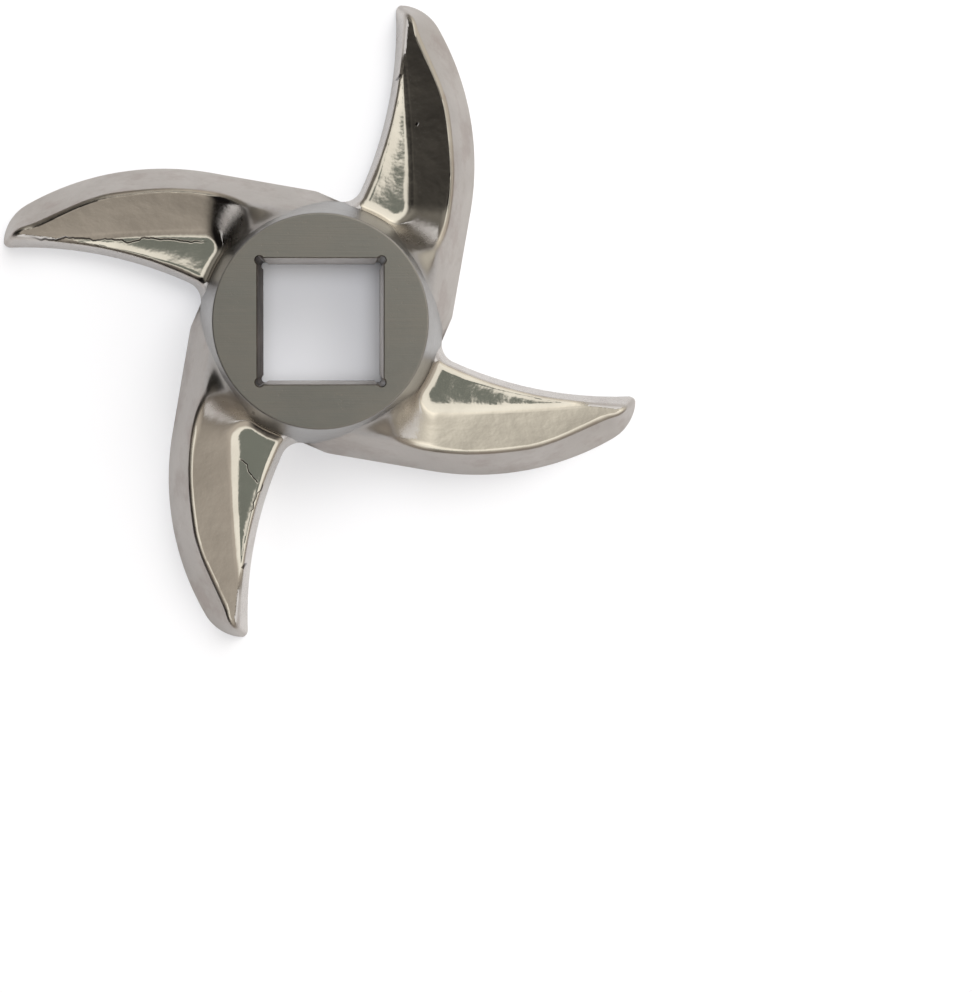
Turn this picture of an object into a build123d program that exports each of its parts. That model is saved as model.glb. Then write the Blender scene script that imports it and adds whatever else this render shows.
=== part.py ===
from build123d import *
from math import asin, atan2, cos, degrees, radians, sin, sqrt, tan
import os

# Hub, in millimetres: metal left at the square's corners on the face, and growth from face to base
hub_height = 14.0
hub_corner_wall = 2.05
hub_taper = 2.6
hub_edge_break = 0.15

# Square drive hole
drive_square = 13.5
drive_edge_break = 0.1
relief_radius = 0.45

# Arms, each pointing along +Y before it is turned into place
arm_count = 4
swing_diameter = 76.0
lip_height = 3.0

# Back of an arm on the underside: a line just clear of the hub, a long arc, and a short arc round the tip
back_stand_off = 0.7
back_lean = 9.8
back_radius = 31.9
tip_radius = 5.3
tip_bearing = 74.1
tip_end_bearing = 83.0
root_height = 0.6
run_out_height = -2.2
run_out_depth = 0.2

# Lean of the back face from upright, in degrees, along the arm from the hub to the tip
root_draft = 21.5
line_draft = 23.0
middle_draft = 25.5
shoulder_draft = 35.0
tip_draft = 23.5

# Leading wall: an arc from the hub to the tip
lead_radius = 45.7
lead_bearing = 74.5
lead_end_bearing = 94.0
lead_draft = 13.0
lead_corner_low = 2.5
lead_corner_high = 1.2
nose_radius = 0.8

# Scoop in front of the ridge: its wall starts on the hub at a bearing and passes beside the tip's centre
wall_slope = 42.5
wall_radius = 140.0
wall_bearing = 40.5
wall_tip_shift = 0.57
scoop_corner_low = 2.0
scoop_corner_high = 7.6
floor_fillet = 1.0
ridge_fillet = 0.35

# Ridge where it climbs the hub in a hollow flare that starts a little way out from it
ridge_height = 9.2
flare_reach = 1.0
flare_drop = 1.0
flare_hollow = 1.0

# Cutting tools overlap the metal by the first and run past it by the second
overlap = 0.1
margin = 1.0

# Least part of a back face's normal that points along +X
back_facing = 0.3


hub_face_radius = drive_square / sqrt(2) + hub_corner_wall
hub_base_radius = hub_face_radius + hub_taper


def toward(bearing):
    """Unit vector at a bearing in degrees from +X."""
    return Vector(cos(radians(bearing)), sin(radians(bearing)))


def bearing_of(vector):
    """Bearing of a vector in degrees from +X."""
    return degrees(atan2(vector.Y, vector.X))


def hub_radius(level):
    """Radius of the hub's tapered flank at a level."""
    return hub_base_radius - (hub_base_radius - hub_face_radius) * level / hub_height


def arc_center_through(start, end, radius):
    """Centre, to the left of the way from start to end, of an arc through both points."""
    chord = end - start
    rise = sqrt(radius ** 2 - (chord.length / 2) ** 2)
    return (start + end) / 2 + chord.normalized().rotate(Axis.Z, 90) * rise


def arc_center_between(normal, offset, radius, circle_center, circle_radius):
    """Centre of an arc that touches a line and, from outside, a smaller circle further along."""
    foot = normal * (offset - radius)
    line_way = normal.rotate(Axis.Z, 90)
    gap = circle_center - foot
    step = sqrt((radius - circle_radius) ** 2 - gap.dot(normal) ** 2)
    return foot + line_way * (gap.dot(line_way) - step)


back_offset = hub_base_radius + back_stand_off
flare_radius = hub_base_radius + flare_reach
roof_level = hub_height - flare_drop
tip_center = toward(tip_bearing) * (swing_diameter / 2 - tip_radius)
back_center = arc_center_between(toward(-back_lean), back_offset, back_radius, tip_center, tip_radius)
shoulder_bearing = bearing_of(tip_center - back_center)


def drafted(point, bearing, draft, level):
    """Point of the underside's outline carried up a face that leans inward."""
    return point - toward(bearing) * (level * tan(radians(draft)))


def back_outline(level):
    """Area inside the back face at a level, left open to the hub and the leading side."""
    line_end = back_center + toward(-back_lean) * back_radius
    line_way = toward(90 - back_lean)
    root = line_end - line_way * ((line_end.Y - root_height) / line_way.Y)
    run_out = Vector(sqrt(hub_base_radius ** 2 - run_out_height ** 2) - run_out_depth, run_out_height)
    middle_bearing = (shoulder_bearing - back_lean) / 2
    middle = back_center + toward(middle_bearing) * back_radius
    shoulder = back_center + toward(shoulder_bearing) * back_radius
    tip_end = tip_center + toward(tip_end_bearing) * tip_radius

    run_out = drafted(run_out, -back_lean, root_draft, level)
    root = drafted(root, -back_lean, root_draft, level)
    line_end = drafted(line_end, -back_lean, line_draft, level)
    middle = drafted(middle, middle_bearing, middle_draft, level)
    shoulder = drafted(shoulder, shoulder_bearing, shoulder_draft, level)
    tip_end = drafted(tip_end, tip_end_bearing, tip_draft, level)
    if level == 0:
        tip_edge = CenterArc(tip_center, tip_radius, shoulder_bearing, tip_end_bearing - shoulder_bearing)
    else:
        tip_edge = Line(shoulder, tip_end)
    return Pos(0, 0, level) * make_face([
        Line(run_out, root),
        Line(root, line_end),
        ThreePointArc(line_end, middle, shoulder),
        tip_edge,
        Line(tip_end, (0, tip_end.Y)),
        Line((0, tip_end.Y), (0, run_out.Y)),
        Line((0, run_out.Y), run_out),
    ])


def roofed_blank():
    """Arm without its scoop: the ruled back face under a roof that flares up to the hub."""
    block = loft([back_outline(0), back_outline(roof_level)], ruled=True)
    top = Vector(hub_radius(roof_level), roof_level)
    foot = Vector(flare_radius, ridge_height)
    hollow = (top + foot) / 2 - Vector(flare_hollow, flare_hollow)
    roof = make_face([
        Line((0, 0), (swing_diameter, 0)),
        Line((swing_diameter, 0), (swing_diameter, ridge_height)),
        Line((swing_diameter, ridge_height), foot),
        ThreePointArc(foot, hollow, top),
        Line(top, (0, roof_level)),
        Line((0, roof_level), (0, 0)),
    ])
    return block & revolve(Plane.XZ * roof, Axis.Z)


def tool_outline(level, center, reach, corner):
    """Area of a cutting tool at a level, between an arc along the arm and the hub's flank.

    The rounded corner's circle touches the arc's circle from inside and the hub's from outside.
    """
    hub = hub_radius(level) - overlap
    gap = center.length
    foot = (gap ** 2 + (hub + corner) ** 2 - (reach - corner) ** 2) / (2 * gap)
    side = sqrt((hub + corner) ** 2 - foot ** 2)
    outward = center / gap
    corner_center = outward * foot + outward.rotate(Axis.Z, -90) * side
    arc_start = bearing_of(corner_center - center)
    hub_start = bearing_of(corner_center)
    top = swing_diameter / 2
    arc_end = degrees(asin((top - center.Y) / reach))
    hub_end = 90 + degrees(asin(margin / hub))
    arm_arc = CenterArc(center, reach, arc_start, arc_end - arc_start)
    hub_arc = CenterArc((0, 0), hub, hub_start, hub_end - hub_start)
    return Pos(0, 0, level) * make_face([
        hub_arc,
        CenterArc(corner_center, corner, hub_start - 180, arc_start - hub_start + 180),
        arm_arc,
        Line(arm_arc @ 1, (-margin, top)),
        Line((-margin, top), hub_arc @ 1),
    ])


def lead_tool():
    """Space in front of the leading wall."""
    root = toward(lead_bearing) * hub_base_radius
    nose = tip_center + toward(lead_end_bearing) * tip_radius
    center = arc_center_through(root, nose, lead_radius)
    low = -margin
    high = lip_height + 2 * margin
    slope = tan(radians(lead_draft))
    return loft([
        tool_outline(low, center, lead_radius + low * slope, lead_corner_low),
        tool_outline(high, center, lead_radius + high * slope, lead_corner_high),
    ], ruled=True)


def scoop_tool():
    """Space above the lip in front of the ridge, filleted round its floor."""
    root = toward(wall_bearing) * hub_radius(lip_height)
    center = arc_center_through(root, tip_center + Vector(wall_tip_shift, 0), wall_radius)
    run = (hub_height - lip_height) / tan(radians(wall_slope))
    space = loft([
        tool_outline(lip_height, center, wall_radius, scoop_corner_low),
        tool_outline(hub_height, center, wall_radius + run, scoop_corner_high),
    ], ruled=True)
    floor = space.faces().sort_by(Axis.Z)[0]
    return fillet(floor.edges().filter_by(GeomType.LINE, reverse=True), floor_fillet)


def ridge_edges(body):
    """Edges where the back faces, which stand on the underside, meet the scoop."""
    standing = body.faces().filter_by(lambda face: face.bounding_box().min.Z < overlap)
    backs = standing.filter_by(lambda face: face.normal_at().X > back_facing)
    above_lip = backs.edges().filter_by(lambda edge: edge.bounding_box().min.Z > lip_height - overlap)
    return above_lip.filter_by(lambda edge: edge.bounding_box().max.Z < roof_level - overlap)


def nose_edge(body):
    """Upright edge where the leading wall meets the tip."""
    return body.edges().filter_by(
        lambda edge: edge.bounding_box().min.Z < overlap
        and edge.bounding_box().max.Z > lip_height / 2
        and (edge @ 0.5).Y > tip_center.Y
    ).sort_by(Axis.X)[0]


def make_arm():
    arm = roofed_blank() - lead_tool() - scoop_tool()
    arm = fillet(ridge_edges(arm), ridge_fillet)
    return fillet(nose_edge(arm), nose_radius)


def make_hub():
    """Tapered hub with a broken edge round its ground face."""
    hub = Cone(hub_base_radius, hub_face_radius, hub_height, align=(Align.CENTER, Align.CENTER, Align.MIN))
    face_edge = hub.edges().group_by(Axis.Z)[-1]
    return chamfer(face_edge, hub_edge_break)


def drive_hole():
    """Square hole with a relief down each corner and its two mouths broken."""
    mouth = drive_square + 2 * drive_edge_break
    column = Box(drive_square, drive_square, hub_height, align=(Align.CENTER, Align.CENTER, Align.MIN))
    for x in (-1, 1):
        for y in (-1, 1):
            inset = (drive_square - relief_radius) / 2
            column += Pos(x * inset, y * inset, 0) * Cylinder(
                relief_radius, hub_height, align=(Align.CENTER, Align.CENTER, Align.MIN))
    for level in (0, hub_height):
        wide = Pos(0, 0, level) * Rectangle(mouth, mouth)
        narrow = Pos(0, 0, abs(level - drive_edge_break)) * Rectangle(drive_square, drive_square)
        column += loft([wide, narrow], ruled=True)
    return column


knife = make_hub()
for place in range(arm_count):
    knife += Rot(0, 0, place * 360 / arm_count) * make_arm()
knife -= drive_hole()

os.makedirs("parts", exist_ok=True)
export_step(knife, "parts/knife.step")
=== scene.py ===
"""Four-armed grinder knife in cast stainless steel, polished in the scoops and ground on the hub."""
import logging
import math
from dataclasses import dataclass, field
from enum import Enum
from typing import Any, Optional, Sequence, Union

import bpy
import numpy as np
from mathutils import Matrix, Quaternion, Vector
from mathutils.geometry import tessellate_polygon


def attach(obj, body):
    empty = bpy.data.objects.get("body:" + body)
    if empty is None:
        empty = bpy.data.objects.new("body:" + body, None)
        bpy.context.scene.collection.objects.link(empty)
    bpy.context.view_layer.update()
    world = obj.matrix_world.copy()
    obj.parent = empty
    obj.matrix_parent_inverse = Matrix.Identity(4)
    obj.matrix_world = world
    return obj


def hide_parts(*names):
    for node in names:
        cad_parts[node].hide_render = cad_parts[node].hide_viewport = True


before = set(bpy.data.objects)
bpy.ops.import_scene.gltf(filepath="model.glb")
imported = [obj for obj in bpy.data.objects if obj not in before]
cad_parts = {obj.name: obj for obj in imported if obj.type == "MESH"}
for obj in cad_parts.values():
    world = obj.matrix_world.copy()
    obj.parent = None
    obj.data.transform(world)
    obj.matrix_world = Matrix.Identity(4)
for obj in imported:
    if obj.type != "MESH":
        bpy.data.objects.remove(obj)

logging.basicConfig(level=logging.INFO, format="%(name)s: %(message)s")
log = logging.getLogger("knife")

MILLIMETRE = 0.001
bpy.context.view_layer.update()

# Depth that stands for a point well outside the metal, in millimetres
OUTSIDE = -9.0

# Points closer than this, in millimetres, are welded
WELD_DISTANCE = 2e-4

# Outputs of the Texture Coordinate node
DIRECTION = 0
OBJECT_PLACE = 3

# Factor and values of a Mix node, whose sockets share their names
MIX_NUMBERS = (0, 2, 3)
MIX_COLOURS = (0, 6, 7)

Array = np.ndarray
Number = Union[float, Array]
Plan = tuple[float, float]
Colour = tuple[float, float, float]


class Zone(Enum):
    """Finish of a whole face, as its shares of polished, ground and bore metal."""

    GROUND = (0.0, 1.0, 0.0)
    BORE = (0.0, 0.0, 1.0)


class Facing(Enum):
    """Way that a flat face looks, as the upright part of its normal."""

    UP = 1.0
    DOWN = -1.0


def toward(bearing: Number) -> Array:
    """Unit vector in plan at a bearing in degrees from +X: its cosine and its sine.

    Args:
        bearing: One bearing, or an array of them.

    Returns:
        The vectors, stacked along a last axis.
    """
    angle = np.radians(bearing)
    return np.stack([np.cos(angle), np.sin(angle)], axis=-1)


def bearing_of(vector: Array) -> float:
    """Bearing of a plan vector in degrees from +X."""
    return math.degrees(math.atan2(vector[1], vector[0]))


def turned(vector: Array, degrees: float) -> Array:
    """Plan vector turned anticlockwise: (x cos a - y sin a, x sin a + y cos a)."""
    c, s = math.cos(math.radians(degrees)), math.sin(math.radians(degrees))
    return np.array([vector[0] * c - vector[1] * s, vector[0] * s + vector[1] * c])


def quarter_turn(quarter: int) -> tuple[int, int]:
    """Cosine and sine of a number of quarter turns, free of rounding."""
    return ((1, 0), (0, 1), (-1, 0), (0, -1))[quarter % 4]


def arc(center: Array, radius: float, start: float, end: float, count: int) -> Array:
    """Points on a circle's arc: centre + radius times the unit vector at evenly spaced bearings.

    Args:
        center: Plan centre.
        radius: Radius of the circle.
        start: Bearing of the first point in degrees.
        end: Bearing of the last point in degrees.
        count: How many points.

    Returns:
        Array of shape (count, 2).
    """
    return center + radius * toward(np.linspace(start, end, count))


def center_through(start: Array, end: Array, radius: float) -> Array:
    """Centre, to the left of the way from start to end, of an arc through both points.

    Half the chord and the centre's distance from it are the legs of a triangle whose long side is
    the radius.

    Args:
        start: First plan point.
        end: Second plan point.
        radius: Radius of the arc.

    Returns:
        The plan centre.
    """
    chord = end - start
    length = math.hypot(*chord)
    rise = math.sqrt(radius ** 2 - (length / 2) ** 2)
    return (start + end) / 2 + turned(chord / length, 90) * rise


def met(a: Array, b: Array, cosine: Number, radius: Number) -> Array:
    """Depth inside both of two faces whose shared edge is rounded by a rolling ball.

    With u = radius - a and v = radius - b, the ball's axis lies at a distance whose square is
    (u^2 + v^2 - 2 u v cos) / sin^2, and the depth in the edge's zone is radius minus that.

    Args:
        a: Depth behind the first face.
        b: Depth behind the second face.
        cosine: Cosine of the angle between the two faces' normals.
        radius: Radius of the edge.

    Returns:
        The depth, which is the smaller of a and b away from the edge.
    """
    u, v = radius - a, radius - b
    sine_squared = 1 - cosine ** 2
    near = (u > v * cosine) & (v > u * cosine) & (u > 0) & (v > 0)
    axis = np.sqrt(np.maximum(u * u + v * v - 2 * u * v * cosine, 0) / sine_squared)
    return np.where(near, radius - axis, np.minimum(a, b))


def eased(x: Number, knots: Sequence[float], values: Sequence[float]) -> Array:
    """Values at x between knots, eased in and out of each: v0 + (v1 - v0) (3 t^2 - 2 t^3).

    Args:
        x: Where the values are wanted.
        knots: Rising places.
        values: Value at each knot, kept beyond the first and the last.

    Returns:
        Array of the shape of x.
    """
    knots, values = np.asarray(knots, float), np.asarray(values, float)
    i = np.clip(np.searchsorted(knots, x, side="right") - 1, 0, len(knots) - 2)
    t = np.clip((x - knots[i]) / (knots[i + 1] - knots[i]), 0, 1)
    return values[i] + (values[i + 1] - values[i]) * t * t * (3 - 2 * t)


@dataclass
class Casting:
    """The knife's form in millimetres, as a depth below its skin at any point.

    Bearings and leans are in degrees, the arm that the fields describe points along +Y, and the
    others are the same arm turned by quarter turns. The skin lies where the depth is 0.
    """

    drive_square: float = 13.5
    hub_height: float = 14.0
    hub_corner_wall: float = 2.05
    hub_spread: float = 2.6
    hub_edge_break: float = 0.2
    arm_count: int = 4
    swing_radius: float = 38.0
    lip_height: float = 3.0

    # Back of an arm: a line just clear of the hub, a long arc and a short arc round the tip
    back_stand_off: float = 0.7
    back_lean: float = 9.8
    back_radius: float = 31.9
    tip_radius: float = 5.3
    tip_bearing: float = 74.1
    tip_end_bearing: float = 83.0
    root_height: float = 0.6
    run_out_height: float = -2.2
    run_out_depth: float = 0.2

    # Lean of the back from upright along the arm
    root_draft: float = 21.5
    line_draft: float = 23.0
    middle_draft: float = 25.5
    shoulder_draft: float = 35.0
    tip_draft: float = 23.5

    # Leading wall: an arc from the hub to the nose
    lead_radius: float = 45.7
    lead_bearing: float = 74.5
    lead_end_bearing: float = 94.0
    lead_draft: float = 13.0
    lead_corner: float = 2.28
    lead_corner_fall: float = 0.22
    nose_radius: float = 0.8

    # Scoop in front of the ridge
    wall_slope: float = 42.5
    wall_radius: float = 140.0
    wall_bearing: float = 40.5
    wall_tip_shift: float = 0.57
    wall_hollow: float = 0.25
    wall_hollow_rise: float = 1.6
    floor_dish: float = 0.15
    lip_width: float = 0.6
    scoop_corner_low: float = 2.0
    scoop_corner_high: float = 7.6
    least_corner: float = 0.2

    # Rounded edges: their radii, and the cosines of the angles between the faces that meet in them
    floor_fillet: float = 1.2
    ridge_fillet: float = 0.42
    lip_fillet: float = 0.3
    lip_fillet_rise: float = 1.6
    roof_fillet: float = 0.4
    roof_cosine: float = 0.3
    lead_cosine: float = 0.15
    crest_cosine: float = -0.3

    # Roof of the ridge, with the hollow flare by which it climbs the hub
    ridge_height: float = 9.2
    flare_reach: float = 1.0
    flare_drop: float = 1.0
    flare_hollow: float = 1.0

    # Steps for normals: wide round the hub, eased to a fine one along the arm, and one elsewhere
    hub_step: float = 0.6
    arm_step: float = 0.05
    plain_step: float = 0.012
    step_run: Plan = (3.0, 8.0)
    halvings: int = 22

    tip_center: Array = field(init=False)
    back_center: Array = field(init=False)
    lead_center: Array = field(init=False)
    wall_center: Array = field(init=False)
    shoulder_bearing: float = field(init=False)

    def __post_init__(self) -> None:
        """Works out the centres of the outline's arcs from the sizes."""
        self.tip_center = toward(self.tip_bearing) * (self.swing_radius - self.tip_radius)
        foot = self.back_normal * (self.back_offset - self.back_radius)
        gap = self.tip_center - foot
        step = math.sqrt((self.back_radius - self.tip_radius) ** 2 - (gap @ self.back_normal) ** 2)
        self.back_center = foot + self.back_way * (gap @ self.back_way - step)
        self.shoulder_bearing = bearing_of(self.tip_center - self.back_center)
        root = toward(self.lead_bearing) * self.hub_base_radius
        nose = self.tip_center + toward(self.lead_end_bearing) * self.tip_radius
        self.lead_center = center_through(root, nose, self.lead_radius)
        start = toward(self.wall_bearing) * (self.hub_base_radius - self.hub_taper * self.lip_height)
        end = self.tip_center + np.array([self.wall_tip_shift, 0])
        self.wall_center = center_through(start, end, self.wall_radius)

    @property
    def hub_face_radius(self) -> float:
        """Radius of the hub's face: half the square's diagonal and the metal left at its corners."""
        return self.drive_square / math.sqrt(2) + self.hub_corner_wall

    @property
    def hub_base_radius(self) -> float:
        """Radius of the hub at the underside."""
        return self.hub_face_radius + self.hub_spread

    @property
    def hub_taper(self) -> float:
        """How much the hub's radius falls in each millimetre of height."""
        return self.hub_spread / self.hub_height

    @property
    def back_offset(self) -> float:
        """Distance of the back's straight part from the hub's axis."""
        return self.hub_base_radius + self.back_stand_off

    @property
    def back_normal(self) -> Array:
        """Outward plan normal of the back's straight part."""
        return toward(-self.back_lean)

    @property
    def back_way(self) -> Array:
        """Plan direction of the back's straight part, away from the hub."""
        return toward(90 - self.back_lean)

    @property
    def line_end(self) -> Array:
        """Plan point where the back's straight part goes over into its long arc."""
        return self.back_center + self.back_normal * self.back_radius

    @property
    def back_root(self) -> Array:
        """Plan point where the back's straight part starts beside the hub."""
        return self.line_end - self.back_way * ((self.line_end[1] - self.root_height) / self.back_way[1])

    def back_depth(self, x: Array, y: Array, z: Array) -> Array:
        """Depth behind the back face: plan depth inside the outline, less what the lean takes at z.

        The plan depth is measured from the line, the long arc or the tip's arc, whichever faces the
        point, and the lean is eased from one to the next along them.

        Args:
            x: Places across the arm.
            y: Places along the arm.
            z: Heights.

        Returns:
            The depth.
        """
        line_run = self.line_end @ self.back_way
        along = x * self.back_way[0] + y * self.back_way[1]
        line = self.back_offset - (x * self.back_normal[0] + y * self.back_normal[1])
        bx, by = x - self.back_center[0], y - self.back_center[1]
        back_bearing = np.degrees(np.arctan2(by, bx))
        bow = self.back_radius - np.hypot(bx, by)
        tx, ty = x - self.tip_center[0], y - self.tip_center[1]
        tip_bearing = np.degrees(np.arctan2(ty, tx))
        tip = self.tip_radius - np.hypot(tx, ty)
        past_line = along > line_run
        past_bow = past_line & (back_bearing > self.shoulder_bearing)
        depth = np.where(past_bow, tip, np.where(past_line, bow, line))
        middle = (self.shoulder_bearing - self.back_lean) / 2
        lean_line = eased(along, [self.root_height, line_run], [self.root_draft, self.line_draft])
        lean_bow = eased(back_bearing, [-self.back_lean, middle, self.shoulder_bearing],
                         [self.line_draft, self.middle_draft, self.shoulder_draft])
        lean_tip = eased(tip_bearing, [self.shoulder_bearing, self.tip_end_bearing],
                         [self.shoulder_draft, self.tip_draft])
        lean = np.radians(np.where(past_bow, lean_tip, np.where(past_line, lean_bow, lean_line)))
        return (depth - z * np.tan(lean)) * np.cos(lean)

    def run_out_edge(self, x: Array, y: Array, z: Array) -> Array:
        """Depth inside the short face by which the back's root runs into the hub.

        The face leans like the root, so the depth is (plan depth - z tan lean) cos lean.

        Args:
            x: Places across the arm.
            y: Places along the arm.
            z: Heights.

        Returns:
            The depth.
        """
        reach = math.sqrt(self.hub_base_radius ** 2 - self.run_out_height ** 2) - self.run_out_depth
        end = np.array([reach, self.run_out_height])
        face = (self.back_root - end) / math.hypot(*(self.back_root - end))
        out = turned(face, -90)
        lean = math.radians(self.root_draft)
        depth = (end[0] - x) * out[0] + (end[1] - y) * out[1]
        return (depth - z * math.tan(lean)) * math.cos(lean)

    def corner_center(self, z: Number, center: Array, reach: Number, corner: Number) -> tuple[Number, Number]:
        """Centre of the circle that rounds a cut space's corner at the hub.

        It touches the arc's circle from inside and the hub's from outside. With g the distance
        between their centres, it lies (g^2 + (hub + corner)^2 - (reach - corner)^2) / 2g from the
        hub's axis towards the arc's centre, and as far to the side as hub + corner then leaves.

        Args:
            z: Height.
            center: Plan centre of the arc.
            reach: Radius of the arc.
            corner: Radius of the corner.

        Returns:
            x and y of the centre.
        """
        hub = self.hub_base_radius - self.hub_taper * z
        gap = math.hypot(*center)
        outward = center / gap
        aside = turned(outward, -90)
        foot = (gap ** 2 + (hub + corner) ** 2 - (reach - corner) ** 2) / (2 * gap)
        side = np.sqrt(np.maximum((hub + corner) ** 2 - foot ** 2, 0))
        return outward[0] * foot + aside[0] * side, outward[1] * foot + aside[1] * side

    def space_depth(self, x: Array, y: Array, z: Array, center: Array, reach: Array, corner: Array) -> Array:
        """Plan depth inside the space between an arc along the arm and the hub's flank.

        The space is inside the arc's circle and outside the hub's, and a point in the sector of its
        rounded corner takes that circle's depth.

        Args:
            x: Places across the arm.
            y: Places along the arm.
            z: Heights.
            center: Plan centre of the arc.
            reach: Radius of the arc at each height.
            corner: Radius of the corner at each height.

        Returns:
            The depth.
        """
        hub = self.hub_base_radius - self.hub_taper * z
        corner = np.maximum(corner, self.least_corner)
        cx, cy = self.corner_center(z, center, reach, corner)
        qx, qy = x - cx, y - cy
        ex, ey = cx - center[0], cy - center[1]
        inside = (-cx * qy + cy * qx > 0) & (qx * ey - qy * ex > 0)
        plain = np.minimum(reach - np.hypot(x - center[0], y - center[1]), np.hypot(x, y) - hub)
        return np.where(inside, corner - np.hypot(qx, qy), plain)

    def scoop_side(self, x: Array, y: Array, z: Array) -> Array:
        """Plan depth inside the scoop's sides: its wall leans out as it rises, and its corner opens.

        The wall is hollow near the floor: it comes in by hollow * exp(-rise / hollow_rise).

        Args:
            x: Places across the arm.
            y: Places along the arm.
            z: Heights.

        Returns:
            The depth.
        """
        rise = z - self.lip_height
        reach = self.wall_radius + rise / math.tan(math.radians(self.wall_slope))
        reach = reach - self.wall_hollow * np.exp(-np.maximum(rise, 0) / self.wall_hollow_rise)
        share = rise / (self.hub_height - self.lip_height)
        corner = self.scoop_corner_low + (self.scoop_corner_high - self.scoop_corner_low) * share
        return self.space_depth(x, y, z, self.wall_center, reach, corner)

    def scoop_depth(self, x: Array, y: Array, z: Array) -> Array:
        """Depth inside the scooped space, whose sides meet its floor in a rolling-ball fillet.

        The floor is dished between the lip and the wall by dish * 4 u (1 - u), u being the share
        of the way across.

        Args:
            x: Places across the arm.
            y: Places along the arm.
            z: Heights.

        Returns:
            The depth.
        """
        step, least_breadth = 0.02, 0.5
        side = self.scoop_side(x, y, z)
        climb = (self.scoop_side(x, y, z + step) - side) / step
        true = np.sqrt(1 + climb ** 2)
        from_wall = self.wall_radius - np.hypot(x - self.wall_center[0], y - self.wall_center[1])
        from_lead = np.hypot(x - self.lead_center[0], y - self.lead_center[1]) - self.lead_radius
        from_wall, from_lip = np.maximum(from_wall, 0), np.maximum(from_lead - self.lip_width, 0)
        across = from_lip / np.maximum(from_lip + from_wall, least_breadth)
        dish = self.floor_dish * 4 * across * (1 - across)
        return met(side / true, z - self.lip_height + dish, climb / true, self.floor_fillet)

    def lead_depth(self, x: Array, y: Array, z: Array) -> Array:
        """Depth inside the space in front of the leading wall: its plan depth times cos draft.

        Args:
            x: Places across the arm.
            y: Places along the arm.
            z: Heights.

        Returns:
            The depth.
        """
        draft = math.radians(self.lead_draft)
        reach = self.lead_radius + math.tan(draft) * z
        corner = self.lead_corner - self.lead_corner_fall * z
        return self.space_depth(x, y, z, self.lead_center, reach, corner) * math.cos(draft)

    def roof_depth(self, x: Array, y: Array, z: Array) -> Array:
        """Depth under the roof: level along the arm, and a hollow circle upright where it flares.

        The circle runs through the roof's top on the hub, its foot and the hollow's middle. Its
        centre is where the bisectors of two chords cross: (m - t) c = (m.m - t.t) / 2 and
        (f - t) c = (f.f - t.t) / 2.

        Args:
            x: Places across the arm.
            y: Places along the arm.
            z: Heights.

        Returns:
            The depth.
        """
        top_level = self.hub_height - self.flare_drop
        top = np.array([self.hub_base_radius - self.hub_taper * top_level, top_level])
        foot = np.array([self.hub_base_radius + self.flare_reach, self.ridge_height])
        middle = (top + foot) / 2 - self.flare_hollow
        chords = np.array([middle - top, foot - top])
        halves = np.array([(middle @ middle - top @ top) / 2, (foot @ foot - top @ top) / 2])
        center = np.linalg.solve(chords, halves)
        radius = math.hypot(*(top - center))
        r = np.hypot(x, y)
        flare = np.hypot(r - center[0], z - center[1]) - radius
        level = center[1] - radius - z
        return np.where((r > center[0]) | (z > center[1]), level, flare)

    def arm_depth(self, x: Array, y: Array, z: Array) -> Array:
        """Depth inside one arm: behind the back, under the roof and outside both cut spaces.

        Args:
            x: Places across the arm.
            y: Places along the arm.
            z: Heights.

        Returns:
            The depth.
        """
        back = np.minimum(self.back_depth(x, y, z), self.run_out_edge(x, y, z))
        solid = met(back, self.roof_depth(x, y, z), self.roof_cosine, self.roof_fillet)
        solid = met(solid, -self.lead_depth(x, y, z), self.lead_cosine, self.nose_radius)
        levels = [self.lip_height, self.lip_height + self.lip_fillet_rise]
        rounding = eased(z, levels, [self.lip_fillet, self.ridge_fillet])
        return met(solid, -self.scoop_depth(x, y, z), self.crest_cosine, rounding)

    def hub_depth(self, x: Array, y: Array, z: Array) -> Array:
        """Depth inside the hub: behind its tapered flank and under its ground face.

        Args:
            x: Places from the hub's axis.
            y: Places from the hub's axis, square to x.
            z: Heights.

        Returns:
            The depth.
        """
        lean = math.atan(self.hub_taper)
        flank = (self.hub_base_radius - self.hub_taper * z - np.hypot(x, y)) * math.cos(lean)
        return met(flank, self.hub_height - z, math.sin(lean), self.hub_edge_break)

    def depth(self, x: Array, y: Array, z: Array) -> Array:
        """Depth inside the whole knife: the greatest of the hub's and of the near arms'.

        Args:
            x: Places across the first arm.
            y: Places along the first arm.
            z: Heights.

        Returns:
            The depth.
        """
        deepest = self.hub_depth(x, y, z)
        for quarter in (-1, 0, 1):
            c, s = quarter_turn(quarter)
            px, py = x * c + y * s, y * c - x * s
            on_arm = (px > 0) & (py > self.run_out_height)
            deepest = np.maximum(deepest, np.where(on_arm, self.arm_depth(px, py, z), OUTSIDE))
        return deepest

    def height(self, x: Array, y: Array) -> Array:
        """Height of the skin over plan points, by halving the span in which depth changes sign.

        Args:
            x: Places across the first arm.
            y: Places along the first arm.

        Returns:
            The height.
        """
        low, high = np.zeros_like(x), np.full_like(x, self.hub_height + 0.01)
        for _ in range(self.halvings):
            middle = (low + high) / 2
            solid = self.depth(x, y, middle) >= 0
            low, high = np.where(solid, middle, low), np.where(solid, high, middle)
        return (low + high) / 2

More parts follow.
